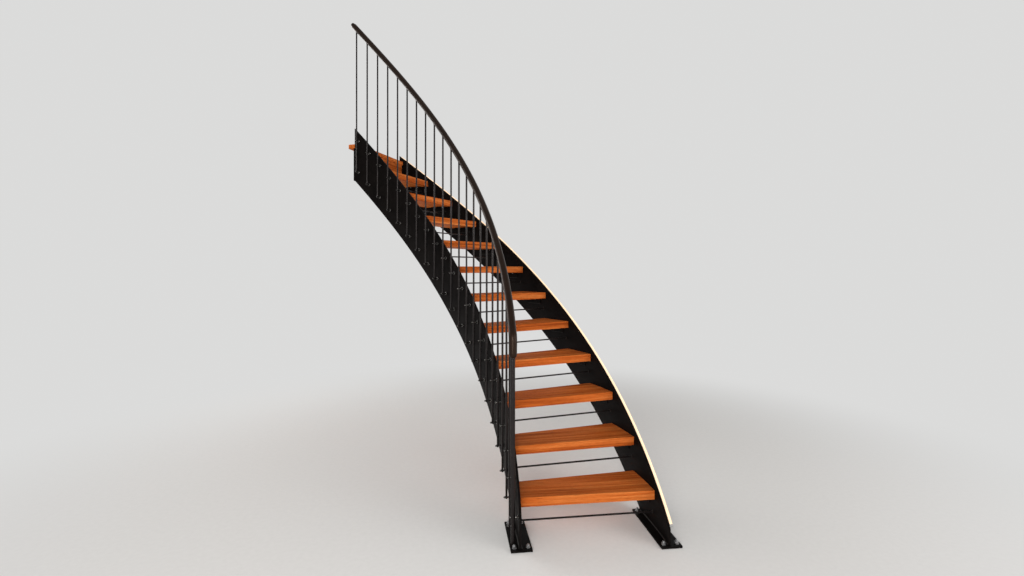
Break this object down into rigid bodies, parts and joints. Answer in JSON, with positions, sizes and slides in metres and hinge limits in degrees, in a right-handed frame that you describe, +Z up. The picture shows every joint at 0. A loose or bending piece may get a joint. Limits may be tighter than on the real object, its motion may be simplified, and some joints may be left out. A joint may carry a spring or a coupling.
{
  "type": "curved open-riser stair",
  "caption": "Curved stair flight with steel plate stringers, open oak treads, thin bars across the risers, a bar balustrade, a round handrail and a strip light.",
  "frame": {"origin": "on the floor, at the middle of the inner stringer's foot plate, under the first nosing", "axes": "+X away from the centre of the stair's curve, +Y the way up at the foot, +Z up"},
  "size_m": [2.0095, 2.6532, 3.4533],
  "materials": {
    "oak": "oiled oak, straight grain",
    "blackened_steel": "waxed blackened plate, satin",
    "baluster_steel": "blackened round bar, satin",
    "handrail_steel": "blackened tube, semi-gloss",
    "light_channel": "anodised",
    "light_diffuser": "warm white, lit"
  },
  "bodies": {
    "root": {"handrail": "handrail_steel", "inner_cleats": "blackened_steel", "inner_foot_plate": "blackened_steel", "inner_stringer": "blackened_steel", "inner_top_plate": "blackened_steel", "landing_apron": "oak", "landing_nosing": "oak", "light_channel": "light_channel", "light_diffuser": "light_diffuser", "lower_balusters": "baluster_steel", "lower_pegs": "baluster_steel", "middle_balusters": "baluster_steel", "newel_post": "baluster_steel", "outer_cleats": "blackened_steel", "outer_foot_plate": "blackened_steel", "outer_stringer": "blackened_steel", "outer_top_plate": "blackened_steel", "riser_bars": "baluster_steel", "tread_01": "oak", "tread_02": "oak", "tread_03": "oak", "tread_04": "oak", "tread_05": "oak", "tread_06": "oak", "tread_07": "oak", "tread_08": "oak", "tread_09": "oak", "tread_10": "oak", "tread_11": "oak", "upper_balusters": "baluster_steel", "upper_pegs": "baluster_steel"}
  },
  "joints": []
}
